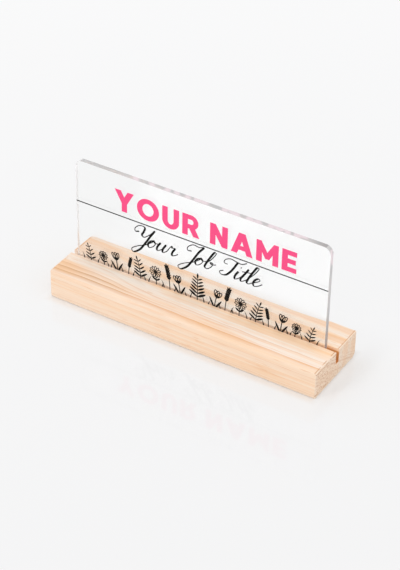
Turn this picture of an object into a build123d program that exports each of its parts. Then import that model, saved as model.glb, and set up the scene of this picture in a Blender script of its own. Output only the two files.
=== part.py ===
from build123d import *

import os

# Desk name plate: a clear acrylic plate stands in a groove sawn along a softwood block.
# Millimetres. The origin is the middle of the block's underside, +X runs along the plate to the
# right-hand end as it is read, +Y to the back and +Z up.

# Softwood block
block_length = 231.0
block_depth = 61.0
block_height = 23.0
block_easing = 1.0  # radius sanded onto every outer edge

# Groove along the top of the block, open at both ends
groove_depth = 11.0
groove_set_back = 1.5  # from the middle of the block to the middle of the groove
groove_lip = 0.3  # chamfer along each lip
plate_clearance = 0.15  # beside each face of the plate

# Clear plate, which stands on the floor of the groove
plate_height = 97.0
plate_thickness = 4.0
plate_corner_radius = 6.0  # on the two upper corners
plate_arris = 0.2  # chamfer round both faces
left_inset = 6.2  # from the end of the block to the end of the plate
right_inset = 9.8

# Rule printed across the front of the plate
rule_drop = 36.0  # from the top of the plate to the middle of the rule
rule_width = 0.9
ink_thickness = 0.05

# What follows from those sizes
groove_width = plate_thickness + 2 * plate_clearance
groove_floor = block_height - groove_depth
plate_length = block_length - left_inset - right_inset
plate_front = Plane(
    origin=((left_inset - right_inset) / 2, groove_set_back - plate_thickness / 2, groove_floor),
    x_dir=(1, 0, 0),
    z_dir=(0, -1, 0),
)

os.makedirs("parts", exist_ok=True)

# The block: sanded all round first, then grooved from end to end
with BuildPart() as block:
    Box(block_length, block_depth, block_height, align=(Align.CENTER, Align.CENTER, Align.MIN))
    fillet(block.edges(), block_easing)
    with BuildSketch(Plane.YZ) as groove_section:
        with BuildLine():
            half_width = groove_width / 2
            Polyline(
                (groove_set_back - half_width - groove_lip, block_height),
                (groove_set_back - half_width, block_height - groove_lip),
                (groove_set_back - half_width, groove_floor),
                (groove_set_back + half_width, groove_floor),
                (groove_set_back + half_width, block_height - groove_lip),
                (groove_set_back + half_width + groove_lip, block_height),
                close=True,
            )
        make_face()
    extrude(amount=block_length / 2, both=True, mode=Mode.SUBTRACT)
block.part.label = "wood_block"
export_step(block.part, "parts/wood_block.step")

# The plate: cut from sheet, with its upper corners rounded and both faces' edges broken
with BuildPart() as plate:
    with BuildSketch(plate_front) as plate_outline:
        Rectangle(plate_length, plate_height, align=(Align.CENTER, Align.MIN))
        fillet(plate_outline.vertices().group_by(Axis.Y)[-1], plate_corner_radius)
    extrude(amount=-plate_thickness)
    plate_faces = plate.faces().sort_by(Axis.Y)
    chamfer(plate_faces[0].edges() + plate_faces[-1].edges(), plate_arris)
plate.part.label = "clear_plate"
export_step(plate.part, "parts/clear_plate.step")

# The rule: a film of ink on the front face, from one broken edge to the other
with BuildPart() as rule:
    with BuildSketch(plate_front):
        with Locations((0, plate_height - rule_drop)):
            Rectangle(plate_length - 2 * plate_arris, rule_width)
    extrude(amount=ink_thickness)
rule.part.label = "printed_rule"
export_step(rule.part, "parts/printed_rule.step")
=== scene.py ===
import math

import bpy
import numpy as np
from mathutils import Matrix, Vector
from mathutils.geometry import delaunay_2d_cdt


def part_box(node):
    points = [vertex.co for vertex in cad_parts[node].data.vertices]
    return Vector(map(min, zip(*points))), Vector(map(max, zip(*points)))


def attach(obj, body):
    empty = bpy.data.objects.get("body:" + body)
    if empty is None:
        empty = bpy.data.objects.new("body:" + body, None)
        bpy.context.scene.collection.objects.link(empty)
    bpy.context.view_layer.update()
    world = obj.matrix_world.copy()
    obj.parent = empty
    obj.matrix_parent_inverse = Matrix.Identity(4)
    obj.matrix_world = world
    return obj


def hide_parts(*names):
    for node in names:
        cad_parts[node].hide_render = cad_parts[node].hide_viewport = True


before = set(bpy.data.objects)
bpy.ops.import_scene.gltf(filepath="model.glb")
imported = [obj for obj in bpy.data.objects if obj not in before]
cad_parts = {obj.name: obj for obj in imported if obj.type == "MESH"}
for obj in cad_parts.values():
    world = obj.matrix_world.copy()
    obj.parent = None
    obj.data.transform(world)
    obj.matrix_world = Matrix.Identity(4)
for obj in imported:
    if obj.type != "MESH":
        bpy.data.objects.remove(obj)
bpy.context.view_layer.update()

MM = 0.001

# Places taken from the frame, in metres
BLOCK_LOW, BLOCK_HIGH = (np.array(corner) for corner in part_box("wood_block"))
PLATE_LOW, PLATE_HIGH = (np.array(corner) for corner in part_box("clear_plate"))
RULE_LOW = np.array(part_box("printed_rule")[0])

# The photograph's camera, which looks at a place in the block below the plate's front
IMAGE_HEIGHT_PX = 570
FOCAL_PX = 1839.7
SENSOR_MM = 36.0
CAMERA_AZIMUTH = math.radians(31.11)
CAMERA_ELEVATION = math.radians(35.81)
CAMERA_ROLL = math.radians(1.08)
CAMERA_DISTANCE = 1.3703
CAMERA_ASIDE = (0.25 * MM, 20.54 * MM)
TARGET_FROM_END = 115.0 * MM
TARGET_BELOW_TOP = 11.0 * MM


class Shade:
    """A value on its way through a material. Arithmetic on it adds Math nodes."""

    def __init__(self, finish, socket):
        self.finish = finish
        self.socket = socket

    def math(self, operation, *others):
        return self.finish.math(operation, self, *others)

    def __add__(self, other):
        return self.math("ADD", other)

    def __sub__(self, other):
        return self.math("SUBTRACT", other)

    def __mul__(self, other):
        return self.math("MULTIPLY", other)

    def __truediv__(self, other):
        return self.math("DIVIDE", other)

    def __pow__(self, other):
        return self.math("POWER", other)

    def __rsub__(self, other):
        return self.finish.math("SUBTRACT", other, self)

    __radd__ = __add__
    __rmul__ = __mul__

    def between(self, low, high):
        """0 at low and 1 at high, smooth in between; low may be the greater of the two."""
        settings = {"interpolation_type": "SMOOTHSTEP"}
        rising = low < high
        inputs = {"Value": self, "From Min": min(low, high), "From Max": max(low, high)}
        inputs.update({"To Min": 0.0 if rising else 1.0, "To Max": 1.0 if rising else 0.0})
        return self.finish.node("ShaderNodeMapRange", settings, inputs)

    def within(self, lower, rise, level, upper):
        """1 from rise to level, and 0 before lower and after upper."""
        return self.between(lower, rise) * self.between(upper, level)

    def from_to(self, first, second):
        """first where the value is 0, and second where it is 1."""
        return self * (second - first) + first


PASSING_RAYS = ("Is Shadow Ray", "Is Diffuse Ray")


class Finish:
    """A material on one Principled shader, whose other nodes are added one at a time."""

    def __init__(self, name, constants):
        self.material = bpy.data.materials.new(name)
        self.material.use_nodes = True
        self.tree = self.material.node_tree
        self.shader = self.tree.nodes["Principled BSDF"]
        self.plain = Shade(self, self.shader.outputs[0])
        self.feed(self.shader, constants)

    def feed(self, node, inputs):
        for name, value in inputs.items():
            if isinstance(value, Shade):
                self.tree.links.new(value.socket, node.inputs[name])
            else:
                node.inputs[name].default_value = value

    def node(self, kind, settings, inputs, output=0):
        """Adds a node of any kind: its settings first, then the values or links of its sockets."""
        node = self.tree.nodes.new(kind)
        for name, value in settings.items():
            setattr(node, name, value)
        self.feed(node, inputs)
        return Shade(self, node.outputs[output])

    def math(self, operation, *values):
        return self.node("ShaderNodeMath", {"operation": operation}, dict(enumerate(values)))

    def place(self):
        """Object coordinates, in metres."""
        return self.node("ShaderNodeTexCoord", {}, {}, "Object")

    def stretched(self, vector, factors):
        return self.node("ShaderNodeVectorMath", {"operation": "MULTIPLY"}, {0: vector, 1: factors})

    def axes(self, vector):
        """The three numbers of a vector."""
        return [self.node("ShaderNodeSeparateXYZ", {}, {0: vector}, axis) for axis in "XYZ"]

    def noise(self, vector, per_metre, detail=2.0, roughness=0.5):
        """Noise from 0 to 1 with about per_metre features along each axis."""
        inputs = {"Vector": self.stretched(vector, per_metre), "Scale": 1.0}
        inputs.update({"Detail": detail, "Roughness": roughness})
        return self.node("ShaderNodeTexNoise", {}, inputs)

    def blend(self, factor, first, second, how="MIX"):
        """A colour between two others."""
        settings = {"data_type": "RGBA", "blend_type": how}
        return self.node("ShaderNodeMix", settings, {0: factor, 6: first, 7: second}, 2)

    def mixed(self, factor, first, second):
        """A shader between two others."""
        return self.node("ShaderNodeMixShader", {}, {0: factor, 1: first, 2: second})

    def rays(self, kinds):
        """For each kind of ray, 1 where such a ray meets the surface and 0 elsewhere."""
        return [self.node("ShaderNodeLightPath", {}, {}, kind) for kind in kinds]

    def lets_light_through(self, surface):
        """Lets light pass straight on where the surface would cast a shadow."""
        shadow, diffuse = self.rays(PASSING_RAYS)
        straight = self.node("ShaderNodeBsdfTransparent", {}, {"Color": (1, 1, 1, 1)})
        return self.mixed(shadow.math("MAXIMUM", diffuse), surface, straight)

    def show(self, surface):
        """Shows that surface in place of the plain shader."""
        self.feed(self.tree.nodes["Material Output"], {"Surface": surface})

    def bump(self, height, depth):
        """Feeds the shader's Normal from a height of 0 to 1 that stands depth metres proud."""
        inputs = {"Height": height, "Distance": depth, "Strength": 1.0}
        self.feed(self.shader, {"Normal": self.node("ShaderNodeBump", {}, inputs)})


def put_in_scene(name, data):
    """A new object at the origin with that mesh, lamp or camera."""
    thing = bpy.data.objects.new(name, data)
    bpy.context.scene.collection.objects.link(thing)
    return thing


def place_piece(name, verts, faces, finish, body, smooth_below=None):
    """Makes a mesh object at the origin from arrays, and rides it on a body."""
    mesh = bpy.data.meshes.new(name)
    mesh.from_pydata(verts.reshape(-1, 3), [], [[int(corner) for corner in face] for face in faces])
    mesh.materials.append(finish.material)
    if smooth_below is not None:
        mesh.polygons.foreach_set("use_smooth", np.ones(len(mesh.polygons), bool))
        mesh.set_sharp_from_angle(angle=smooth_below)
    piece = put_in_scene(name, mesh)
    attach(piece, body)
    return piece


def tube_faces(rows, columns):
    """Quads between rows of a grid numbered row by row, where each row closes on itself, and a cap
    on the first and the last row. Rows run anticlockwise as seen from beyond the last."""
    row, column = np.meshgrid(np.arange(rows - 1), np.arange(columns), indexing="ij")
    after = (column + 1) % columns
    corners = [row * columns + column, row * columns + after]
    corners += [(row + 1) * columns + after, (row + 1) * columns + column]
    first = np.arange(columns)
    return [*np.stack(corners, -1).reshape(-1, 4), first[::-1], (rows - 1) * columns + first]


def ellipse(middle, radii, start, end, steps=24):
    """Points on an ellipse from one angle to another, in degrees."""
    angle = np.radians(np.linspace(start, end, steps))
    return np.array(middle) + np.stack([np.cos(angle), np.sin(angle)], -1) * radii


# Softwood block

BLOCK_EASING = 0.9 * MM
FOOT_EASING = 1.5 * MM  # of the long edge that stands on the table in front
BACK_FOOT_EASING = 4.5 * MM  # and at the back
BACK_ROUNDING = 3.0 * MM  # of the top's back edge, which sharpens towards the right end
BACK_SHARPENS = (60 * MM, 100 * MM)  # places along X where that begins and ends
END_EASING = 0.8 * MM
LEFT_ROUNDING = 3.4 * MM  # of the two upright edges at the left end
CORNER_STEPS = 9
LIP_EASING = 0.15 * MM
LIP_STEPS = 5
LIP_SHARE = 0.06  # of the end easing, taken by the groove's walls
GROOVE_MIDDLE = (PLATE_LOW[1] + PLATE_HIGH[1]) / 2
PLATE_HALF = (PLATE_HIGH[1] - PLATE_LOW[1]) / 2  # of its thickness
GROOVE_HALF = PLATE_HALF + 0.15 * MM  # of its width
GROOVE_FLOOR = PLATE_LOW[2]
SANDING_WAVES = ((61 * MM, 0.3), (23 * MM, 1.9), (9.7 * MM, 4.1))  # length and phase
SANDING_DEPTH = 0.1 * MM
BLOCK_SMOOTH_BELOW = math.radians(32)


def block_section():
    """The block's outline across its length, anticlockwise as seen from its +X end.

    Four rounded corners and two eased groove lips are arcs, joined by straight runs. Gives points
    (y, z), outward normals, 1 on the outside and 0 in the groove, and how far round its corner each
    point lies, from 0 to 1 and back.
    """
    foot, high = BLOCK_LOW[1:] + FOOT_EASING, BLOCK_HIGH[1:] - BLOCK_EASING
    front, back = GROOVE_MIDDLE - GROOVE_HALF, GROOVE_MIDDLE + GROOVE_HALF
    lip_height = BLOCK_HIGH[2] - LIP_EASING
    back_foot = (BLOCK_HIGH[1] - BACK_FOOT_EASING, BLOCK_LOW[2] + BACK_FOOT_EASING)
    corners = [
        (foot, FOOT_EASING, 180, CORNER_STEPS),
        (back_foot, BACK_FOOT_EASING, 270, CORNER_STEPS),
        (high, BLOCK_EASING, 0, CORNER_STEPS),
        ((back + LIP_EASING, lip_height), LIP_EASING, 90, LIP_STEPS),
        ((back, GROOVE_FLOOR), 0.0, 90, 1),
        ((front, GROOVE_FLOOR), 0.0, 45, 1),
        ((front - LIP_EASING, lip_height), LIP_EASING, 0, LIP_STEPS),
        ((BLOCK_LOW[1] + BLOCK_EASING, high[1]), BLOCK_EASING, 90, CORNER_STEPS),
    ]
    points, normals, outside, turns = [], [], [], []
    for middle, radius, start, steps in corners:
        normal = ellipse((0, 0), 1.0, start, start + 90, steps)
        outer = radius >= BLOCK_EASING
        points.append(np.array(middle) + radius * normal)
        normals.append(normal)
        outside.append(np.full(steps, float(outer)))
        turns.append(np.sin(np.linspace(0, np.pi, steps)) * outer)
    return [np.concatenate(values) for values in (points, normals, outside, turns)]


def drawn_in(from_end, radius):
    """How far a quarter circle of radius r draws a side in, at a distance d from the end of that side:
    r less the square root of r squared minus (r - d) squared."""
    short = np.clip(radius - from_end, 0, None)
    return radius - np.sqrt(radius ** 2 - short ** 2)


def block_surface(steps=116, end_steps=16):
    """The section carried along X. Quarter circles ease both ends all round, and larger ones round the
    upright edges of the left end. Sums of sines along X sand the long edges unevenly. The top's back
    edge has a larger radius R than its own r: its points move by R - r times (1 - normal)."""
    points, normals, outside, turns = block_section()
    bend = 1 - np.cos(np.linspace(0, np.pi / 2, end_steps))
    left, right = BLOCK_LOW[0] + LEFT_ROUNDING * bend, BLOCK_HIGH[0] - END_EASING * bend[::-1]
    x = np.concatenate([left, np.linspace(left[-1], right[0], steps)[1:-1], right])
    from_left, from_right = x - BLOCK_LOW[0], BLOCK_HIGH[0] - x
    drawn = drawn_in(from_left, END_EASING) + drawn_in(from_right, END_EASING)
    share = np.where(outside > 0, 1.0, LIP_SHARE)
    in_front = points[:, 0] < BLOCK_LOW[1] + 2 * FOOT_EASING
    at_back = points[:, 0] > BLOCK_HIGH[1] - 2 * BACK_FOOT_EASING
    inwards = in_front * 1.0 - at_back
    sanding = sum(np.sin(2 * np.pi * x / length + phase) for length, phase in SANDING_WAVES)
    sanding = SANDING_DEPTH * (sanding / len(SANDING_WAVES) + 1) / 2
    taken = drawn[:, None] * share + sanding[:, None] * turns
    section = points - normals * taken[..., None]
    section[..., 0] += drawn_in(from_left, LEFT_ROUNDING)[:, None] * inwards
    sharp = np.clip((x - BACK_SHARPENS[0]) / (BACK_SHARPENS[1] - BACK_SHARPENS[0]), 0, 1)
    larger = (BACK_ROUNDING - BLOCK_EASING) * (1 + np.cos(np.pi * sharp)) / 2
    top_back = at_back & (points[:, 1] > BLOCK_HIGH[2] - 1.5 * BLOCK_EASING)
    top_back &= points[:, 0] > BLOCK_HIGH[1] - 1.5 * BLOCK_EASING
    section -= larger[:, None, None] * (1 - normals) * top_back[:, None]
    along = np.broadcast_to(x[:, None, None], section.shape[:2] + (1,))
    return np.concatenate([along, section], -1)


def wood_block():
    verts = block_surface()
    faces = tube_faces(*verts.shape[:2])
    piece = place_piece("sanded_wood_block", verts, faces, pine(), "block", BLOCK_SMOOTH_BELOW)
    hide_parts("wood_block")


# Growth layers of the pine, in millimetres from the block's left end, front and top

PER_METRE = 1000.0
PITH_FRONT = 45.0
PITH_BELOW = 190.0
FIRST_LINE = 197.1  # radius of the dark line along the front of the top
LAYER = 1.3
# Number from the first line, negative towards the pith, and depth of colour at the left and at the right
DARK_LAYERS = (
    (-17, 0.6, 0.6),
    (-10, 0.4, 0.4),
    (-6, 0.6, 0.6),
    (-1, 1.1, 0.85),
    (0, 1.2, 0.3),
    (1, 0.7, 0.1),
    (3, 0.8, 0.8),
)
OTHER_LAYERS = (0.65, 0.35)  # greatest depth of the rest, at the left and at the right
LEAST_FADED = 0.7  # share of a dark layer's depth that is left where it fades
LATE_SLOW, LATE_STEEP, LATE_POWER = 0.75, 0.65, 5.0
LAYER_END = (1.0, 0.92)  # shares of a layer: where its latewood has ended and where it begins to end
LEFT_TO_RIGHT = (40.0, 130.0)
STRAIGHT, WAVY = 6.0, 16.0  # from the front: where the layers run straightest, and where they wave most
WAVE_HEIGHTS = (4.0, 10.0)
RIPPLE_HEIGHT = 0.25
FAN = (30.0, 95.0)  # where the layers behind the first line begin to draw together and have done so
CROWDING = 1.2
CROWDED, SPREAD = 4.0, 12.0  # radii past the first line: to one they lie closer, then to the other wider

# Tan zones, as radii past the first line
TAN_BAND = (8.2, 9.4, 13.2, 14.4)
TAN_BACK = (14.8, 16.2)
TAN_BACK_DEPTH = (0.8, 0.15)  # at the left and at the right
TAN_UNEVENNESS = 3.0
STRIPE_DEPTH = (0.4, 1.0)
LESS_AT_RIGHT = 0.2
FRONT_TONE, FRONT_TONE_DEPTH = (0.0, -1.5), 0.3
LEFT_TONE, LEFT_TONE_DEPTH = (-1.4, -0.4, 3.2, 4.4), 0.7
LEFT_TONE_ENDS = (42.0, 6.0)
MOTTLED, MOTTLE_DEPTH = (0.5, 0.7), 0.45
STREAK_DEPTH = 0.4

# Top behind the groove, from the front
BEHIND_GROOVE = (32.5, 34.5)
PALEST, PALENESS = (45.0, 38.0), (0.35, 0.8)
PALE_TO_RIGHT = (215.0, 150.0)
FIRST_BAND = 37.5  # middle of the first pale band
BAND_STEP = 13.0  # to the next
BAND_SLANT = 8.0  # by which they lie further back at the left end
BAND_SLANT_ENDS = (75.0, 12.0)
BAND_RIPPLE = 3.0
PALE_BANDS, PALE_BAND_DEPTH = (0.0, 0.9), (0.75, 0.6)  # depths at the right and at the left
TAN_BANDS, TAN_BAND_DEPTH = (0.4, -0.7), (0.42, 0.22)

# Left end of the top
ON_TOP = (2.0, 0.5)
LEFT_SHADE_ENDS = (50.0, 5.0)
LEFT_BROWNS = (85.0, 35.0)
FRONT_BROWNS = (22.0, 15.0)  # from the front
PALE_WEDGE = (18.5, 21.0, 26.5, 28.5)  # from the front
PALE_WEDGE_ENDS = (80.0, 50.0)
WEDGE_DEPTH = 0.7

# End grain, worn edges, and painted light and shade on the ends, from the ends, the top and the foot
ON_ENDS = (1.0, 0.2)
END_PALENESS = 0.55
PORES_SHOWN = (0.44, 0.68)
PORE_DEPTH = (0.8, 0.35)
PORES_THIN_OUT = (10.0, 50.0)  # from the front
END_LATE_DEPTH = 0.7
SANDED_EDGE, SANDED_PORES, SANDED_DEPTH = (1.0, 0.5), (0.35, 0.6), 0.5
# dark lines near the top edges of the ends
END_EDGE_LINES = (0.8, 1.1, 1.5, 2.0)
BACK_EDGE_LINE = (0.6, 0.8, 1.2, 1.5)
END_EDGE_LINE_WIDTH, END_EDGE_LINE_DEPTH = (0.6, 0.3), 0.8
# painted light in a pale band along the foot of the ends, and painted shade in dashes above it
LIT_FOOT, LIT_FOOT_DEPTH = (2.4, 1.6), 0.6
SHADE_DASHES, SHADE_DASH_DEPTH = (1.8, 2.4, 3.2, 4.2), 0.5
SHADE_DASH_ENDS = (40.0, 10.0)  # from the front

# Browned walls of the groove: partly saw burn, partly painted shade of the narrow groove
GROOVE_BROWN_BELOW = (1.8, 2.8)
GROOVE_BROWN_INSIDE = (0.05, 0.25)  # from the ends
GROOVE_BROWN_FROM_LEFT = (10.0, 60.0)
GROOVE_BROWN_INTO_WALL = (0.3, 0.05)

CREAM = (0.935, 0.82, 0.72, 1)
TAN = (0.945, 0.605, 0.34, 1)
PALE = (0.88, 0.79, 0.70, 1)
LATEWOOD = (0.80, 0.42, 0.18, 1)
LEFT_LATEWOOD = (0.66, 0.38, 0.20, 1)
LEFT_SHADE = (0.94, 0.92, 0.92, 1)
END_GRAIN = (1.0, 0.82, 0.66, 1)
# pores and latewood of the ends, and painted shade on them
END_PORES_AND_SHADE = (0.63, 0.34, 0.18, 1)
# sanded edges, and painted light along the foot of the ends
SANDED_AND_LIT = (0.965, 0.83, 0.68, 1)
# saw burn and painted shade in the groove
GROOVE_BURN_AND_SHADE = (0.74, 0.34, 0.11, 1)

# Noise in the wood: features per metre along X, Y and Z
WAVES = (15, 20, 20)
RIPPLES = (60, 160, 160)
MOTTLING = (8, 70, 70)
FIBRES = (22, 1000, 1000)
PORES = (900, 500, 950)
FINE = {"detail": 3.0, "roughness": 0.6}  # fibres and pores
# The same for marks, and the noise where a mark begins and is full
FADING = ((9, 60, 60), (0.3, 0.7))
STRIPES = ((8, 130, 130), (0.35, 0.62))
STREAKS = ((8, 300, 300), (0.4, 0.7))
FLECKS, FLECK_DETAIL, FLECK_DEPTH = ((70, 900, 900), (0.66, 0.76)), 1.0, 0.45
RESIN, RESIN_DEPTH = ((22, 260, 260), (0.56, 0.72)), 0.28
FIBRES_SHOWN, FIBRE_DEPTH = (0.35, 0.7), 0.12
PATCHES = ((120, 120, 120), (0.45, 0.6))

WOOD_GLOSS = {"IOR": 1.45, "Specular IOR Level": 0.3}
WOOD_ROUGHNESS, LATE_SMOOTHER, FIBRE_ROUGHER = 0.62, 0.12, 0.1
GRAIN_HEIGHT = 0.06 * MM
FIBRE_RISE, LATE_RISE, PORE_FALL = 0.6, 0.5, 0.8


class BlockFinish(Finish):
    """A finish that knows where a point of the block lies, in millimetres from the block's sides."""

    def __init__(self, name, constants):
        super().__init__(name, constants)
        self.metres = self.place()
        x, y, z = (axis * PER_METRE for axis in self.axes(self.metres))
        low, high = BLOCK_LOW * PER_METRE, BLOCK_HIGH * PER_METRE
        self.from_left, self.from_end = x - low[0], high[0] - x.math("ABSOLUTE")
        self.from_front, self.from_back = y - low[1], high[1] - y
        self.above, self.below = z - low[2], high[2] - z
        self.off_groove = (y - GROOVE_MIDDLE * PER_METRE).math("ABSOLUTE")
        self.rightward = self.from_left.between(*LEFT_TO_RIGHT)
        self.behind = self.from_front.between(*BEHIND_GROOVE)
        self.on_top = self.below.between(*ON_TOP)
        self.ends = self.from_end.between(*ON_ENDS)

    def marks(self, kind, detail=2.0):
        """Noise, as 0 where a mark of that kind begins and 1 where it is full."""
        per_metre, limits = kind
        return self.noise(self.metres, per_metre, detail).between(*limits)


def growth_layers(wood, ripple):
    """Circles round a pith that lay far below the block and in front of it, which noise makes wavy. Gives
    how far a point lies past the first line, and the same where the layers behind that line have drawn
    together, as they do from the left end on."""
    wave = wood.noise(wood.metres, WAVES) - 0.5
    across = wood.from_front + PITH_FRONT
    across = across + wave * wood.from_front.between(STRAIGHT, WAVY).from_to(*WAVE_HEIGHTS)
    up = PITH_BELOW - wood.below
    past = (across * across + up * up) ** 0.5 + ripple * RIPPLE_HEIGHT - FIRST_LINE
    fall = CROWDED / (SPREAD - CROWDED)
    crowding = past.math("MINIMUM", (SPREAD - past) * fall).math("MAXIMUM", 0.0)
    return past, past + crowding * wood.from_left.between(*FAN) * CROWDING


def latewood(wood, drawn):
    """Depth of colour, which grows through each layer, slowly and then steeply, and starts again. Chance
    sets how dark most layers become."""
    layer = drawn / LAYER
    phase, number = layer.math("FRACT"), layer.math("FLOOR")
    chance = wood.node("ShaderNodeTexWhiteNoise", {"noise_dimensions": "1D"}, {"W": number})
    fade = wood.marks(FADING)
    strength = chance * fade * wood.rightward.from_to(*OTHER_LAYERS)
    for dark, at_left, at_right in DARK_LAYERS:
        depth = wood.rightward.from_to(at_left, at_right) * fade.from_to(LEAST_FADED, 1.0)
        strength = strength.math("MAXIMUM", number.math("COMPARE", dark, 0.5) * depth)
    growing = phase * LATE_SLOW + phase ** LATE_POWER * LATE_STEEP
    return growing * phase.between(*LAYER_END) * strength


def tan_zones(wood, past, drawn):
    """Cream wood that is tan in two striped bands of layers, in front of the first line, at the left end of
    that line, and in mottles and streaks."""
    mottle = wood.noise(wood.metres, MOTTLING)
    uneven = drawn + (mottle - 0.5) * TAN_UNEVENNESS
    back_band = uneven.between(*TAN_BACK) * wood.rightward.from_to(*TAN_BACK_DEPTH)
    striped = wood.marks(STRIPES).from_to(*STRIPE_DEPTH) - wood.rightward * LESS_AT_RIGHT
    zone = uneven.within(*TAN_BAND).math("MAXIMUM", back_band) * striped
    front_tone = past.between(*FRONT_TONE) * FRONT_TONE_DEPTH
    left_tone = past.within(*LEFT_TONE) * wood.from_left.between(*LEFT_TONE_ENDS) * LEFT_TONE_DEPTH
    for tone in (front_tone, mottle.between(*MOTTLED) * MOTTLE_DEPTH, left_tone):
        zone = zone.math("MAXIMUM", tone)
    colour = wood.blend(zone, CREAM, TAN)
    return wood.blend(wood.marks(STREAKS) * STREAK_DEPTH, colour, TAN)


def bands_behind_groove(wood, ripple, colour):
    """Pale and tan bands along the top behind the groove, from the cosine of the distance to the first,
    which lies further back at the left end. The wood is palest just behind the groove, except at the right:
    partly its own tone, partly painted haze of the plate in front of it."""
    to_left = wood.from_left.between(*PALE_TO_RIGHT)
    paleness = wood.from_front.between(*PALEST).from_to(*PALENESS)
    # paler behind the plate: partly the wood's tone, partly painted haze of the plate
    colour = wood.blend(wood.behind * to_left * paleness, colour, PALE)
    slant = wood.from_left.between(*BAND_SLANT_ENDS) * BAND_SLANT
    past_band = wood.from_front - FIRST_BAND - slant + ripple * BAND_RIPPLE
    bands = (past_band * (2 * math.pi / BAND_STEP)).math("COSINE")
    pale = wood.behind * bands.between(*PALE_BANDS) * to_left.from_to(*PALE_BAND_DEPTH)
    tan = wood.behind * bands.between(*TAN_BANDS) * to_left.from_to(*TAN_BAND_DEPTH)
    return wood.blend(tan, wood.blend(pale, colour, PALE), LATEWOOD)


def with_latewood(wood, late, colour):
    """Latewood over the other wood. At the left end of the top the wood is a little darker, the latewood
    along the front is browner, and a pale wedge lies between it and the groove."""
    shaded = wood.on_top * wood.from_left.between(*LEFT_SHADE_ENDS)
    colour = wood.blend(shaded, colour, LEFT_SHADE, "MULTIPLY")
    browned = wood.on_top * wood.from_left.between(*LEFT_BROWNS) * wood.from_front.between(*FRONT_BROWNS)
    colour = wood.blend(late, colour, wood.blend(browned, LATEWOOD, LEFT_LATEWOOD))
    wedge = wood.from_front.within(*PALE_WEDGE) * wood.on_top * wood.from_left.between(*PALE_WEDGE_ENDS)
    return wood.blend(wedge * WEDGE_DEPTH, colour, PALE)


def with_fibres(wood, fibre, colour):
    """Short flecks, longer streaks of resin and fine fibres, all along X."""
    colour = wood.blend(wood.marks(FLECKS, FLECK_DETAIL) * FLECK_DEPTH, colour, LATEWOOD)
    colour = wood.blend(wood.marks(RESIN) * RESIN_DEPTH, colour, LATEWOOD)
    return wood.blend(fibre.between(*FIBRES_SHOWN) * FIBRE_DEPTH, colour, LATEWOOD)


def end_grain(wood, late, pores, colour):
    """Paler ends, speckled with pores that thin out towards the back, and with the latewood's lines."""
    end_colour = wood.blend(END_PALENESS, colour, END_GRAIN)
    porous = wood.from_front.between(*PORES_THIN_OUT).from_to(*PORE_DEPTH)
    end_colour = wood.blend(pores.between(*PORES_SHOWN) * porous, end_colour, END_PORES_AND_SHADE)
    end_colour = wood.blend(late * END_LATE_DEPTH, end_colour, END_PORES_AND_SHADE)
    return wood.blend(wood.ends, colour, end_colour)


def worn_lit_and_shaded_ends(wood, pores, colour):
    """Edges of the ends, sanded pale, with dark lines along the top ones and one behind the groove. A pale
    band along the foot is painted light, and dark dashes above it are painted shade."""
    inside = wood.below.math("MINIMUM", wood.from_front).math("MINIMUM", wood.from_back)
    edge = wood.from_end.between(*SANDED_EDGE) * inside.between(*SANDED_EDGE)
    colour = wood.blend(edge * pores.between(*SANDED_PORES) * SANDED_DEPTH, colour, SANDED_AND_LIT)
    patches = wood.marks(PATCHES)
    far, near = (wood.from_end.math(which, wood.below) for which in ("MAXIMUM", "MINIMUM"))
    # dark lines along the top edges of the ends, and one across the top behind the groove
    edge_lines = patches * far.within(*END_EDGE_LINES) * near.between(*END_EDGE_LINE_WIDTH)
    back_edge_line = wood.behind * wood.from_end.within(*BACK_EDGE_LINE) * wood.below.between(*END_EDGE_LINE_WIDTH)
    colour = wood.blend(edge_lines.math("MAXIMUM", back_edge_line) * END_EDGE_LINE_DEPTH, colour, END_PORES_AND_SHADE)
    # painted light: a pale band along the foot of the ends
    foot = wood.ends * wood.above.between(*LIT_FOOT)
    colour = wood.blend(foot * LIT_FOOT_DEPTH, colour, SANDED_AND_LIT)
    # painted shade: dark dashes above the foot, towards the front
    shade_dashes = wood.ends * patches * wood.above.within(*SHADE_DASHES) * wood.from_front.between(*SHADE_DASH_ENDS)
    return wood.blend(shade_dashes * SHADE_DASH_DEPTH, colour, END_PORES_AND_SHADE)


def burnt_and_shaded_groove(wood, colour):
    """Walls of the groove, browned from a little below their lips: partly burnt by the saw, partly painted
    shade of the narrow groove.
    """
    walls = [GROOVE_HALF * PER_METRE + depth for depth in GROOVE_BROWN_INTO_WALL]
    # painted shade and saw burn on the groove's walls and floor
    burn_and_shade = wood.off_groove.between(*walls) * wood.from_end.between(*GROOVE_BROWN_INSIDE)
    burn_and_shade = burn_and_shade * wood.below.between(*GROOVE_BROWN_BELOW) * wood.from_left.between(*GROOVE_BROWN_FROM_LEFT)
    return wood.blend(burn_and_shade, colour, GROOVE_BURN_AND_SHADE)


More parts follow.
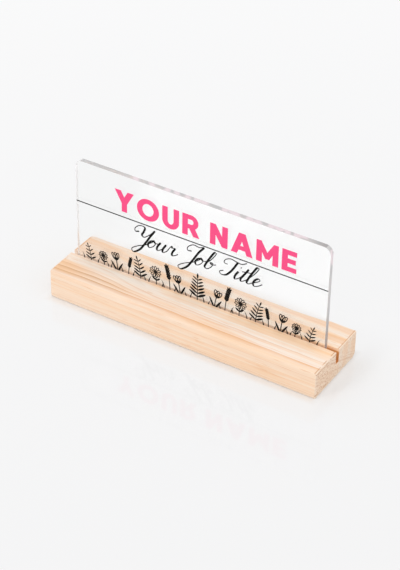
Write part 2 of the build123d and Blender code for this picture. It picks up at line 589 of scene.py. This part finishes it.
def pine():
    """Pale softwood with fibres along X. Its latewood is smoother and stands proud, and its end pores are
    sunk."""
    wood = BlockFinish("pale_pine", WOOD_GLOSS)
    ripple = wood.noise(wood.metres, RIPPLES) - 0.5
    fibre, pores = (wood.noise(wood.metres, per_metre, **FINE) for per_metre in (FIBRES, PORES))
    past, drawn = growth_layers(wood, ripple)
    late = latewood(wood, drawn)
    colour = tan_zones(wood, past, drawn)
    colour = bands_behind_groove(wood, ripple, colour)
    colour = with_latewood(wood, late, colour)
    colour = with_fibres(wood, fibre, colour)
    colour = end_grain(wood, late, pores, colour)
    colour = worn_lit_and_shaded_ends(wood, pores, colour)
    colour = burnt_and_shaded_groove(wood, colour)
    roughness = WOOD_ROUGHNESS - late * LATE_SMOOTHER + fibre * FIBRE_ROUGHER
    wood.feed(wood.shader, {"Base Color": colour, "Roughness": roughness})
    height = fibre * FIBRE_RISE + late * LATE_RISE - pores * wood.ends * PORE_FALL
    wood.bump(height, GRAIN_HEIGHT)
    return wood


# Clear plate

CORNER_RADIUS = 6.0 * MM
ARRIS = 0.2 * MM
PLATE_SMOOTH_BELOW = math.radians(10)
CLEAR = {"Base Color": (0.985, 0.99, 0.99, 1), "IOR": 1.49, "Transmission Weight": 1.0, "Roughness": 0.0}
EDGE_STARTS = (0.01 * MM, 0.05 * MM)  # in from the plate's faces
EDGE_FROSTING = 0.6
EDGE_ROUGHNESS = 0.4
# painted shade at the foot of the sides, turning to painted light above
EDGE_SHADED_AT_FOOT = (0.58, 0.57, 0.58, 1)
EDGE_LIT_ABOVE = (0.97, 0.97, 0.98, 1)
EDGE_ON_TOP = (0.81, 0.81, 0.82, 1)
EDGE_SHADED_BY_CORNERS = (0.57, 0.57, 0.58, 1)  # painted shade on top, where no letter mirrors in it
LEFT_CORNER = (43.0 * MM, 27.0 * MM)  # from the plate's left end
RIGHT_CORNER = (18.0 * MM, 6.0 * MM)  # from its right end
EDGE_SHADE_FADE = 45.0 * MM  # painted shade fades up the right side, from the block's top; the left side has painted light all the way


def plate_outline():
    """The plate's outline as points (x, z) with outward normals, anticlockwise as seen from the front:
    two arcs above and two square corners below, whose normals are the corner's diagonal."""
    low, high = PLATE_LOW[[0, 2]], PLATE_HIGH[[0, 2]]
    top = high[1] - CORNER_RADIUS
    right_turn = ellipse((0, 0), 1.0, 0, 90, 25)
    left_turn = ellipse((0, 0), 1.0, 90, 180, 25)
    right = np.array([high[0] - CORNER_RADIUS, top]) + CORNER_RADIUS * right_turn
    left = np.array([low[0] + CORNER_RADIUS, top]) + CORNER_RADIUS * left_turn
    feet = np.array([low, [high[0], low[1]]])
    feet_normals = np.array([[-1.0, -1.0], [1.0, -1.0]])
    return np.concatenate([right, left, feet]), np.concatenate([right_turn, left_turn, feet_normals])


def clear_plate():
    """The outline carried through the plate's thickness, from back to front. A quarter circle of
    radius r breaks each edge: at angle a the outline is r (1 - sin a) smaller at depth r (1 - cos a)."""
    points, normals = plate_outline()
    angle = np.linspace(0, np.pi / 2, 4)
    depth = ARRIS * (1 - np.cos(angle))
    inset = ARRIS * (1 - np.sin(angle))
    depth = np.concatenate([PLATE_HIGH[1] - depth, PLATE_LOW[1] + depth[::-1]])
    inset = np.concatenate([inset, inset[::-1]])
    ring = points - normals * inset[:, None, None]
    across = np.broadcast_to(depth[:, None, None], ring.shape[:2] + (1,))
    verts = np.concatenate([ring[..., :1], across, ring[..., 1:]], -1)
    faces = tube_faces(*verts.shape[:2])
    name = "polished_clear_plate"
    piece = place_piece(name, verts, faces, acrylic(), "plate", PLATE_SMOOTH_BELOW)
    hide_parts("clear_plate")


def acrylic():
    """Clear cast sheet with polished faces and satin cut edges, which are greyer on top. Painted shade
    darkens the foot of the sides and the top by its corners, and painted light makes the sides pale above.
    """
    clear = Finish("clear_acrylic", CLEAR)
    x, y, z = clear.axes(clear.place())
    off_middle = (y - GROOVE_MIDDLE).math("ABSOLUTE")
    edge = off_middle.between(*(PLATE_HALF - start for start in EDGE_STARTS))
    left = x.between(PLATE_LOW[0] + 2 * ARRIS, PLATE_LOW[0] + ARRIS)
    # painted light above the sides' painted shade, and all the way up the left side
    pale = z.between(BLOCK_HIGH[2], BLOCK_HIGH[2] + EDGE_SHADE_FADE).math("MAXIMUM", left)
    side = clear.blend(pale, EDGE_SHADED_AT_FOOT, EDGE_LIT_ABOVE)
    on_top = z.between(PLATE_HIGH[2] - 2 * ARRIS, PLATE_HIGH[2] - ARRIS)
    # painted shade on top by the corners
    by_left = (x - PLATE_LOW[0]).between(*LEFT_CORNER)
    by_right = (PLATE_HIGH[0] - x).between(*RIGHT_CORNER)
    top = clear.blend(by_left.math("MAXIMUM", by_right), EDGE_ON_TOP, EDGE_SHADED_BY_CORNERS)
    satin = {"Base Color": clear.blend(on_top, side, top), "Roughness": EDGE_ROUGHNESS}
    frosting = clear.node("ShaderNodeBsdfPrincipled", {}, satin)
    sheet = clear.mixed(edge * EDGE_FROSTING, clear.plain, frosting)
    clear.show(clear.lets_light_through(sheet))
    return clear


# Print on the plate, drawn in millimetres as outlines (x, z)

STEM = 0.262  # of the capitals' upright strokes, as a share of their height
BAR = 0.225  # of their level strokes


def half_ring(middle, outer, inner, start):
    """Half of an oval ring, from angle start to start + 180."""
    far = ellipse(middle, outer, start, start + 180)
    near = ellipse(middle, inner, start + 180, start)
    return np.concatenate([far, near])


def leaning(foot, head, width, low=0.0, high=1.0):
    """A straight stroke with level ends, from x = foot at its bottom to x = head at its top."""
    return np.array([[foot, low], [foot + width, low], [head + width, high], [head, high]])


def capital_y():
    middle, arm, knee, crotch = 0.46, 0.30, 0.40, 0.707
    half = STEM / 2
    right = [[middle + half, 0], [middle + half, knee], [2 * middle, 1], [2 * middle - arm, 1]]
    left = [[arm, 1], [0, 1], [middle - half, knee], [middle - half, 0]]
    return [np.array(right + [[middle, crotch]] + left)], 2 * middle


def capital_o():
    middle, outer = (0.53, 0.5), (0.53, 0.515)
    inner = (outer[0] - STEM, outer[1] - BAR)
    return [half_ring(middle, outer, inner, start) for start in (0, 180)], 2 * middle[0]


def capital_u():
    width, bend, overshoot = 0.80, 0.39, 0.012
    middle = (width / 2, bend)
    outer = ellipse(middle, (width / 2, bend + overshoot), 180, 360)
    inner = ellipse(middle, (width / 2 - STEM, bend + overshoot - BAR), 360, 180)
    right_top = [[width, 1], [width - STEM, 1]]
    left_top = [[STEM, 1], [0, 1]]
    return [np.concatenate([outer, right_top, inner, left_top])], width


def capital_r():
    bend, low, reach, width = 0.42, 0.335, 0.335, 0.815
    middle, outer = (bend, (1 + low) / 2), (reach, (1 - low) / 2)
    inner = (outer[0] - STEM + 0.03, outer[1] - BAR + 0.01)
    left = STEM / 2
    bowl = [[[left, low]], ellipse(middle, outer, -90, 90), [[left, 1], [left, middle[1] + inner[1]]]]
    bowl += [ellipse(middle, inner, 90, -90), [[left, middle[1] - inner[1]]]]
    leg = leaning(width - 0.30, 0.29, 0.30, 0.0, low + 0.08)
    return [leaning(0, 0, STEM), np.concatenate(bowl), leg], width


def capital_n():
    width, corner, cut = 0.82, 0.26, 0.50
    right = [[width - corner, 0], [width, 0], [width, 1], [width - STEM, 1], [width - STEM, cut]]
    left = [[corner, 1], [0, 1], [0, 0], [STEM, 0], [STEM, 1 - cut]]
    return [np.array(right + left)], width


def capital_a():
    width, lean, leg = 1.0, 0.35, 0.285
    bar = np.array([[0.2, 0.19], [0.8, 0.19], [0.7, 0.40], [0.3, 0.40]])
    return [leaning(0, lean, leg), leaning(width - leg, width - leg - lean, leg), bar], width


def capital_m():
    width, corner, notch = 1.0, 0.22, 0.52
    shoulder, valley, toe = 0.472, 0.198, 0.09
    middle = width / 2
    right = [[width - STEM, 0], [width, 0], [width, 1], [width - corner, 1], [middle, notch]]
    left = [[corner, 1], [0, 1], [0, 0], [STEM, 0], [STEM, shoulder]]
    toes = [[middle - toe, valley], [middle + toe, valley], [width - STEM, shoulder]]
    return [np.array(right + left + toes)], width


def capital_e():
    width, short = 0.66, 0.62
    arms = [(0, width), ((1 - BAR) / 2, short), (1 - BAR, width)]
    bars = [np.array([[0, low], [long, low], [long, low + BAR], [0, low + BAR]]) for low, long in arms]
    return [leaning(0, 0, STEM)] + bars, width


NAME_WORDS = (
    (capital_y, capital_o, capital_u, capital_r),
    (capital_n, capital_a, capital_m, capital_e),
)
NAME_HEIGHT = 18.2
NAME_MIDDLE = 2.5
NAME_BASELINE = 77.6
NAME_TRACKING = 0.15
NAME_SPACE = 0.48


def name_outlines():
    """Generic words in block capitals, set side by side and centred."""
    outlines, pen = [], 0.0
    for word in NAME_WORDS:
        for capital in word:
            loops, width = capital()
            outlines += [loop + [pen, 0] for loop in loops]
            pen += width + NAME_TRACKING
        pen += NAME_SPACE - NAME_TRACKING
    half = (pen - NAME_SPACE) / 2
    return [(loop - [half, 0]) * NAME_HEIGHT + [NAME_MIDDLE, NAME_BASELINE] for loop in outlines]


def smooth(points):
    """A curve through the given points: a centripetal Catmull-Rom spline, whose knots are spaced by
    the square root of the distance between points; each span is cut in equal steps."""
    points = np.asarray(points, float)
    p = np.concatenate([[2 * points[0] - points[1]], points, [2 * points[-1] - points[-2]]])
    gap = np.sqrt(np.linalg.norm(np.diff(p, axis=0), axis=1))
    knot = np.concatenate([[0], np.cumsum(gap)])
    spans = len(p) - 3
    ends = [p[i:spans + i, None] for i in range(4)]
    times = [knot[i:spans + i, None, None] for i in range(4)]
    t = times[1] + (times[2] - times[1]) * np.linspace(0, 1, SCRIPT_STEPS, endpoint=False)[:, None]

    def on_the_way(first, last, start, end):
        t0, t1 = times[first], times[last]
        return ((t1 - t) * start + (t - t0) * end) / (t1 - t0)

    runs = [on_the_way(i, i + 1, ends[i], ends[i + 1]) for i in range(3)]
    bends = [on_the_way(i, i + 2, runs[i], runs[i + 1]) for i in range(2)]
    curve = on_the_way(1, 2, *bends)
    return np.concatenate([curve.reshape(-1, 2), points[-1:]])


def ribbon(path, width):
    """Triangles of a line drawn along a path, width wide across its direction."""
    along = np.gradient(path, axis=0)
    along /= np.linalg.norm(along, axis=1, keepdims=True)
    half = np.broadcast_to(width, len(path))[:, None] / 2
    side = np.stack([-along[:, 1], along[:, 0]], -1) * half
    left, right = path + side, path - side
    ahead = np.stack([right[:-1], right[1:], left[1:]], 1)
    behind = np.stack([right[:-1], left[1:], left[:-1]], 1)
    return [*ahead, *behind]


# Script letters as the points that a pen passes, in x-heights, each with the step to the next letter
SCRIPT = {
    "Y": ([(0.42, 1.42), (0.12, 1.3), (-0.02, 1.65), (0.25, 2.1), (0.72, 2.05), (0.8, 1.55),
           (0.78, 1.12), (1.02, 0.95), (1.4, 1.45), (1.62, 2.05), (1.5, 1.3), (1.36, 0.3),
           (1.15, -0.65), (0.75, -1.1), (0.5, -0.8), (0.85, -0.3), (1.5, 0.22)], 1.5),
    "o": ([(0.48, 0.93), (0.2, 0.75), (0.12, 0.3), (0.34, 0.02), (0.62, 0.3), (0.66, 0.72),
           (0.46, 0.95), (0.62, 0.72), (0.92, 0.78)], 0.86),
    "u": ([(0.16, 0.98), (0.08, 0.4), (0.2, 0.03), (0.48, 0.25), (0.68, 0.97), (0.6, 0.4),
           (0.7, 0.03), (0.95, 0.25)], 0.95),
    "r": ([(0.14, 0.9), (0.22, 1.06), (0.3, 0.9), (0.55, 0.92), (0.5, 0.45), (0.6, 0.04),
           (0.85, 0.2), (1.0, 0.42)], 0.9),
    "J": ([(0.5, 1.35), (0.18, 1.3), (0.05, 1.65), (0.38, 2.1), (0.95, 2.05), (1.28, 2.2),
           (1.1, 1.5), (0.95, 0.4), (0.75, -0.6), (0.35, -1.08), (0.05, -0.82), (0.4, -0.3),
           (1.08, 0.22)], 1.08),
    "b": ([(0.22, 0.85), (0.46, 1.55), (0.5, 2.05), (0.36, 2.12), (0.24, 1.6), (0.14, 0.7),
           (0.16, 0.15), (0.4, 0.03), (0.66, 0.4), (0.62, 0.85), (0.46, 0.8), (0.62, 0.66),
           (0.95, 0.8)], 0.9),
    "T stem": ([(1.05, 1.95), (0.98, 1.3), (0.86, 0.6), (0.62, 0.1), (0.25, 0.02), (0.05, 0.3),
                (0.3, 0.5)], 0.0),
    "T bar": ([(0.35, 1.35), (0.05, 1.4), (0.0, 1.75), (0.35, 2.05), (0.9, 1.95), (1.4, 1.9),
               (1.75, 2.2)], 1.2),
    "i dot": ([(0.28, 1.42), (0.3, 1.5), (0.32, 1.56)], 0.0),
    "t bar": ([(0.52, 1.12), (0.85, 1.2), (1.25, 1.28)], 0.0),
    "i": ([(0.24, 0.98), (0.16, 0.4), (0.26, 0.03), (0.5, 0.22)], 0.5),
    "t": ([(0.32, 1.0), (0.42, 1.6), (0.28, 0.8), (0.2, 0.25), (0.32, 0.02), (0.55, 0.22)], 0.55),
    "l": ([(0.34, 0.95), (0.54, 1.65), (0.56, 2.1), (0.42, 2.14), (0.3, 1.6), (0.2, 0.6),
           (0.24, 0.1), (0.42, 0.04), (0.62, 0.25)], 0.6),
    "e": ([(0.3, 0.5), (0.52, 0.8), (0.38, 0.98), (0.16, 0.75), (0.12, 0.3), (0.32, 0.02),
           (0.6, 0.16), (0.85, 0.5)], 0.85),
}
# Lines that the pen draws without lifting, with the space that follows each
TITLE_LINES = (
    ("Your", 0.5),
    ("Job", 0.5),
    (("T stem",), 0.0),
    (("T bar",), 0.0),
    (("i dot",), 0.0),
    (("t bar",), 0.0),
    ("itle", 0.0),
)
TITLE_X_HEIGHT = 8.0
TITLE_STRETCH = 1.2
TITLE_SLANT = 0.42
TITLE_MIDDLE = -5.5
TITLE_BASELINE = 54.0
TITLE_HAIRLINE = 0.75
TITLE_DOWNSTROKE = 1.7
PRESS_GAIN, PRESS_START = 1.15, 0.1  # of the pen's pressure, on the share of its way that is down
PRESS_SMOOTHING = 9
SCRIPT_STEPS = 12


def pen_width(path):
    """Thin on the way up and across, thick on the way down, with the change of pressure smoothed."""
    way = np.gradient(path, axis=0)
    way /= np.linalg.norm(way, axis=1, keepdims=True)
    press = np.clip(-PRESS_GAIN * way[:, 1] - PRESS_START, 0, 1)
    press = np.pad(press, PRESS_SMOOTHING // 2, mode="edge")
    window = np.hanning(PRESS_SMOOTHING)
    press = np.convolve(press, window / window.sum(), mode="valid")
    return TITLE_HAIRLINE + (TITLE_DOWNSTROKE - TITLE_HAIRLINE) * press


def title_outlines():
    """Generic words in pen script: smooth lines through the letters' points, slanted."""
    lines, pen = [], 0.0
    for letters, space in TITLE_LINES:
        line = []
        for letter in letters:
            points, step = SCRIPT[letter]
            line.append(np.array(points) + [pen, 0])
            pen += step
        lines.append(smooth(np.concatenate(line)))
        pen += space
    outlines = []
    for path in lines:
        width = pen_width(path)
        across = (path[:, 0] - pen / 2) * TITLE_STRETCH + path[:, 1] * TITLE_SLANT
        page = np.stack([across, path[:, 1]], -1) * TITLE_X_HEIGHT + [TITLE_MIDDLE, TITLE_BASELINE]
        outlines += ribbon(page, width)
    return outlines


BORDER_LINE = 0.8
BORDER_GROUND = 21.0
STALK_TIP = 0.7  # thickness of a tapered stalk's tip, as a share of its foot's
LEAF_POWER = 1.25


def heading_vector(heading):
    """Unit vector that far clockwise from upright, in degrees."""
    return np.array([math.sin(math.radians(heading)), math.cos(math.radians(heading))])


def leaf_path(base, heading, length, width, steps=20):
    """Outline of a pointed leaf from its base, round its tip and back. At angle a it is
    length (1 - cos a) / 2 along and width / 2 times sin a to the power LEAF_POWER across."""
    turn = np.linspace(0, 2 * np.pi, 2 * steps + 1)
    along = length * (1 - np.cos(turn)) / 2
    across = width / 2 * np.sign(np.sin(turn)) * np.abs(np.sin(turn)) ** LEAF_POWER
    way = heading_vector(heading)
    side = np.array([way[1], -way[0]])
    return np.array(base) + along[:, None] * way + across[:, None] * side


def open_leaf(base, heading, length, width, rib):
    """A leaf in outline, with a midrib up to that share of its length."""
    midrib = np.array(base) + np.linspace(0, rib, 3)[:, None] * length * heading_vector(heading)
    outline = ribbon(leaf_path(base, heading, length, width), BORDER_LINE)
    return outline + ribbon(midrib, np.linspace(1.0, 0.4, 3) * BORDER_LINE)


def full_leaf(base, heading, length, width):
    """A leaf filled with ink."""
    return [leaf_path(base, heading, length, width, 10)[:0:-1]]


def leaf_pair(base, heading, spread, length, width):
    """Full leaves to both sides of a heading, that many degrees from it."""
    left = full_leaf(base, heading - spread, length, width)
    return left + full_leaf(base, heading + spread, length, width)


def stalk(base, height, lean, steps=14):
    """A stalk that leans more the higher it is: x = lean t squared, z = height t."""
    t = np.linspace(0, 1, steps)
    return np.array(base) + np.stack([lean * t ** 2, height * t], -1)


def tapered(path):
    """A line that thins evenly along its path."""
    return ribbon(path, np.linspace(1.0, STALK_TIP, len(path)) * BORDER_LINE)


def stalk_place(base, height, lean, t):
    """Where a stalk is at t, and its heading there."""
    return np.array(base) + [lean * t ** 2, height * t], math.degrees(math.atan2(2 * lean * t, height))


FERN_STEP = 4.0  # millimetres of height for each pair of leaflets


def fern(base, height, lean):
    """A frond: pairs of leaflets that shorten towards its tip, and one at the tip."""
    lowest, highest, tip, spread = 0.2, 0.86, 0.93, 58
    longest, shortening, slimness = 0.42, 0.24, 0.25
    tip_length, tip_width = height * 0.2, height * 0.07
    outlines = tapered(stalk(base, height, lean))
    for t in np.linspace(lowest, highest, round(height / FERN_STEP)):
        at, heading = stalk_place(base, height, lean, t)
        size = height * (longest - shortening * t)
        outlines += leaf_pair(at, heading, spread, size, size * slimness)
    at, heading = stalk_place(base, height, lean, tip)
    return outlines + full_leaf(at, heading, tip_length, tip_width)


def tulip(base, height, lean):
    """Three petals on a stalk, and two blades at its foot."""
    opening, side_length, side_width, side_rib = 24, height * 0.40, height * 0.17, 0.35
    middle_length, middle_width, middle_rib = height * 0.38, height * 0.2, 0.5
    spread, follows, blade_length, blade_width = 30, 0.3, height * 0.62, height * 0.10
    stalk_height = height * 0.62
    top, heading = stalk_place(base, stalk_height, lean, 1.0)
    outlines = ribbon(stalk(base, stalk_height, lean), BORDER_LINE)
    for side in (-1, 1):
        outlines += open_leaf(top, heading + side * opening, side_length, side_width, side_rib)
        outlines += full_leaf(base, heading * follows + side * spread, blade_length, blade_width)
    return outlines + open_leaf(top, heading, middle_length, middle_width, middle_rib)


def wheat(base, height, lean, grains=6):
    """An ear: pairs of grains up the top half of a stalk, and one at its tip."""
    lowest, highest, tip, spread = 0.5, 0.96, 0.98, 32
    length, tip_length, width = height * 0.17, height * 0.18, height * 0.065
    outlines = tapered(stalk(base, height, lean))
    for t in np.linspace(lowest, highest, grains):
        at, heading = stalk_place(base, height, lean, t)
        outlines += leaf_pair(at, heading, spread, length, width)
    at, heading = stalk_place(base, height, lean, tip)
    return outlines + full_leaf(at, heading, tip_length, width)


def daisy(base, height, lean, petals=11):
    """Petals round a full middle, on a stalk with two leaves."""
    stalk_height, reach = height * 0.72, height * 0.28
    eye, petal_width, petal_line = reach * 0.25, reach * 0.36, BORDER_LINE * 0.8
    leaves_at, spread = 0.42, 50
    middle, _ = stalk_place(base, stalk_height, lean, 1.0)
    outlines = ribbon(stalk(base, stalk_height, lean), BORDER_LINE)
    for heading in np.arange(petals) * 360 / petals:
        start = middle + heading_vector(heading) * eye
        outlines += ribbon(leaf_path(start, heading, reach - eye, petal_width, 10), petal_line)
    outlines.append(ellipse(middle, eye, 0, 340, 18))
    at, _ = stalk_place(base, stalk_height, lean, leaves_at)
    outlines += full_leaf(at, spread, height * 0.28, height * 0.10)
    return outlines + full_leaf(at, -spread, height * 0.24, height * 0.09)


def grass(base, height, lean):
    """A blade that thins with the square of the way to its tip."""
    path = stalk(base, height, lean)
    foot, thinning = BORDER_LINE * 1.3, 0.9
    return ribbon(path, foot * (1 - thinning * np.linspace(0, 1, len(path)) ** 2))


# Plants to the right of the plate's middle: kind, millimetres aside, height and lean
BORDER_PLANTS = (
    (tulip, 15, 17, 1.5),
    (wheat, 24, 21, 3.0),
    (daisy, 36, 18, 1.0),
    (fern, 50, 19, 3.5),
    (wheat, 61, 16, -2.0),
    (tulip, 71, 17, 1.0),
    (daisy, 83, 14, 1.0),
    (fern, 95, 15, 3.0),
)
# Blades of grass between them
GRASS_BLADES = (
    (6, 8, -2.0), (9.5, 6, 2.0), (20, 7, -2.0), (29, 8, 2.5), (31, 6, -1.5), (43, 8, -2.5), (45.5, 6, 2.0),
    (57, 7, -2.0), (66, 7, 2.0), (77, 8, -2.5), (79, 6, 1.5), (89, 7, -2.0), (101, 7, 2.0),
)
MIDDLE_FERN_HEIGHT = 23.0


def border_outlines():
    """A row of garden plants along the foot of the plate, the same to both sides of its middle."""
    middle = (PLATE_LOW[0] + PLATE_HIGH[0]) / 2 / MM
    right = []
    for plant, aside, height, lean in BORDER_PLANTS:
        right += plant((aside, 0.0), height, lean)
    for aside, height, lean in GRASS_BLADES:
        right += grass((aside, 0.0), height, lean)
    left = [loop[::-1] * [-1, 1] for loop in right]
    fronds = fern((0.0, 0.0), MIDDLE_FERN_HEIGHT, 0.0)
    return [loop + [middle, BORDER_GROUND] for loop in right + left + fronds]


MERGE_WITHIN = 1e-5  # millimetres
LEAST_AREA = 1e-6  # square millimetres
INK_GRIP = 0.01 * MM  # how far the ink bites into the plate, so that no air lies between them


def signed_area(outline):
    """Positive where the outline runs anticlockwise."""
    x, z = (outline - outline[0]).T
    return (x @ np.roll(z, -1) - z @ np.roll(x, -1)) / 2


def ink_film(name, outlines, finish):
    """A closed film of ink on the plate's front: the outlines, joined where they overlap, are cut into
    triangles for its front and back, and quads close it along the rim."""
    areas = [signed_area(outline) for outline in outlines]
    turned = [outline[::-1] if area < 0 else outline for outline, area in zip(outlines, areas)]
    outlines = [outline for outline, area in zip(turned, areas) if abs(area) > LEAST_AREA]
    ends = np.cumsum([len(outline) for outline in outlines])
    loops = [list(range(end - len(outline), end)) for outline, end in zip(outlines, ends)]
    points = [Vector(point) for point in np.concatenate(outlines)]
    all_triangles = 0
    flat, _, triangles, _, _, sources = delaunay_2d_cdt(points, [], loops, all_triangles, MERGE_WITHIN)
    flat = np.array(flat) * MM
    triangles = np.array([triangle for triangle, source in zip(triangles, sources) if source])
    edges = triangles[:, [[0, 1], [1, 2], [2, 0]]].reshape(-1, 2)
    count = len(flat)
    there, back_again = edges @ [count, 1], edges @ [1, count]
    start, end = edges[~np.isin(there, back_again)].T
    rim = np.stack([start, start + count, end + count, end], -1)
    depth = np.repeat([RULE_LOW[1], PLATE_LOW[1] + INK_GRIP], count)
    verts = np.stack([np.tile(flat[:, 0], 2), depth, np.tile(flat[:, 1], 2)], -1)
    faces = [*triangles, *(triangles[:, ::-1] + count), *rim]
    return place_piece(name, verts, faces, finish, "plate")


INK_GLOSS = {"IOR": 1.5, "Specular IOR Level": 0.08}
INK_ROUGHNESS = (0.1, 0.25)
DROPLETS = (2600, 2600, 2600)  # features per metre
DROPLETS_SHOWN, DROPLET_DEPTH, LIGHTER_BY = (0.45, 0.75), 0.5, 0.03
UNDERSIDE = 0.02 * MM  # depth of the film that has the underside's colour


def ink(name, colour, underside):
    """Cured printing ink, a little uneven where the droplets ran together. It lies on an underside of
    its own colour, which shows through the plate."""
    film = Finish(name, INK_GLOSS)
    place = film.place()
    grain = film.noise(place, DROPLETS)
    lighter = tuple(LIGHTER_BY + (1 - LIGHTER_BY) * channel for channel in colour)
    top = film.blend(grain.between(*DROPLETS_SHOWN) * DROPLET_DEPTH, colour, lighter)
    _, y, _ = film.axes(place)
    under = y.between(PLATE_LOW[1] - UNDERSIDE, PLATE_LOW[1])
    colours = film.blend(under, top, underside)
    film.feed(film.shader, {"Base Color": colours, "Roughness": grain.from_to(*INK_ROUGHNESS)})
    return film


BLACK = (0.004, 0.004, 0.004, 1)
PINK = (0.93, 0.083, 0.243, 1)
PINK_UNDERSIDE = (0.93, 0.55, 0.65, 1)


def printing():
    black = ink("black_ink", BLACK, BLACK)
    pink = ink("pink_ink", PINK, PINK_UNDERSIDE)
    ink_film("name_print", name_outlines(), pink)
    ink_film("title_print", title_outlines(), black)
    ink_film("border_print", border_outlines(), black)
    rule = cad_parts["printed_rule"].data.materials
    rule.clear()
    rule.append(black.material)


# Stage: a glossy white table, a soft box in front to the left and an even room

TABLE_HALF = 4.0
TABLE_COLOUR = (0.84, 0.84, 0.84, 1)
TABLE_GLOSS = {"Roughness": 0.05, "IOR": 1.4}
TABLE_TONE = (0.872, 0.872, 0.877, 1)
TABLE_EVENNESS = (0.85, 0.35)  # of its tone for the camera; the lesser beside the block's ends
BESIDE_ENDS = (0.0, 0.012, 0.03, 0.10)  # metres, from END_LEAD inside the ends
BESIDE_DEPTH = (0.03, -0.01)  # metres past the block's front and back
EVEN_FROM = (0.002, 0.008)  # metres from the block, where the tone begins to be evened and is
END_LEAD = 0.004  # by which it begins sooner beside the ends
PAINTED_SHEEN_THROUGH_PLATE = (0.1, 0.4)  # painted sheen of the plate, at the left and to the right of where it rises
PAINTED_SHEEN_FROM = (-0.14, -0.10)
TABLE_RAYS = ("Is Camera Ray", "Is Transmission Ray", "Is Glossy Ray")
ROOM_LIGHT = 1.0
BOX_AZIMUTH = math.radians(-26.5)
BOX_ELEVATION = math.radians(33.0)
BOX_DISTANCE = 2.0
BOX_SIZE = (0.50, 0.27)
BOX_WATTS = 7.0


def table():
    """Gently glossy white, so that the plate and the block mirror faintly in it. Its tone is evened out for
    the camera, and what the clear plate shows of it is nearly white, as in the photograph."""
    x, y = np.array([-1, 1, 1, -1]) * TABLE_HALF, np.array([-1, -1, 1, 1]) * TABLE_HALF
    mesh = bpy.data.meshes.new("table")
    mesh.from_pydata(np.stack([x, y, np.zeros(4)], -1), [], [(0, 1, 2, 3)])
    white = Finish("white_table", {"Base Color": TABLE_COLOUR, **TABLE_GLOSS})
    direct, through, off = white.rays(TABLE_RAYS)
    x, y, _ = white.axes(white.place())
    # Painted sheen: the table glows white where the plate shows or mirrors it, more to the right, in place
    # of the plate's reflection
    share = x.between(*PAINTED_SHEEN_FROM).from_to(*PAINTED_SHEEN_THROUGH_PLATE)
    sheen_glow = white.node("ShaderNodeEmission", {}, {"Color": (1, 1, 1, 1), "Strength": 1.0})
    glow = {"Base Color": (0, 0, 0, 1), "Emission Color": TABLE_TONE, "Emission Strength": 1.0}
    even = white.node("ShaderNodeBsdfPrincipled", {}, {**glow, **TABLE_GLOSS})
    aside = x.math("ABSOLUTE") - BLOCK_HIGH[0] + END_LEAD
    beyond = y.math("ABSOLUTE") - BLOCK_HIGH[1]
    clear = aside.math("MAXIMUM", beyond).between(*EVEN_FROM)
    beside = aside.within(*BESIDE_ENDS) * beyond.between(*BESIDE_DEPTH)
    seen = white.mixed(direct * clear * beside.from_to(*TABLE_EVENNESS), white.plain, even)
    white.show(white.mixed(through.math("MAXIMUM", off) * share, seen, sheen_glow))
    mesh.materials.append(white.material)
    top = put_in_scene("table", mesh)


def towards(azimuth, elevation):
    """Unit vector from the object to a place that far round from its front and that high."""
    level = math.cos(elevation)
    return Vector((math.sin(azimuth) * level, -math.cos(azimuth) * level, math.sin(elevation)))


def soft_box():
    lamp = bpy.data.lights.new("soft_box", "AREA")
    lamp.shape = "RECTANGLE"
    lamp.size, lamp.size_y = BOX_SIZE
    lamp.energy = BOX_WATTS
    box = put_in_scene("soft_box", lamp)
    way = towards(BOX_AZIMUTH, BOX_ELEVATION)
    box.location = way * BOX_DISTANCE
    box.rotation_euler = way.to_track_quat("Z", "Y").to_euler()


def room():
    world = bpy.data.worlds.new("even_room")
    world.use_nodes = True
    background = world.node_tree.nodes["Background"]
    background.inputs["Color"].default_value = (1, 1, 1, 1)
    background.inputs["Strength"].default_value = ROOM_LIGHT
    bpy.context.scene.world = world


def photo_camera():
    """Looks at its target from the photograph's side, rolled and set aside in its own plane."""
    data = bpy.data.cameras.new("photo_camera")
    data.sensor_width = SENSOR_MM
    data.lens = FOCAL_PX * SENSOR_MM / IMAGE_HEIGHT_PX
    back = towards(CAMERA_AZIMUTH, CAMERA_ELEVATION)
    level_right = (-back).cross(Vector((0, 0, 1))).normalized()
    level_up = level_right.cross(-back)
    cosine, sine = math.cos(CAMERA_ROLL), math.sin(CAMERA_ROLL)
    right = level_right * cosine + level_up * sine
    up = level_up * cosine - level_right * sine
    target = (BLOCK_HIGH[0] - TARGET_FROM_END, PLATE_LOW[1], BLOCK_HIGH[2] - TARGET_BELOW_TOP)
    eye = Vector(target) + back * CAMERA_DISTANCE + right * CAMERA_ASIDE[0] + up * CAMERA_ASIDE[1]
    camera = put_in_scene("photo_camera", data)
    camera.matrix_world = Matrix.Translation(eye) @ Matrix((right, up, back)).transposed().to_4x4()
    bpy.context.scene.camera = camera


wood_block()
clear_plate()
printing()
table()
soft_box()
room()
photo_camera()
bpy.context.scene.view_settings.view_transform = "Standard"
# Light that runs up and down inside the plate is followed to its end
bpy.context.scene.cycles.max_bounces = 48
bpy.context.scene.cycles.glossy_bounces = 32
bpy.context.scene.cycles.transmission_bounces = 32
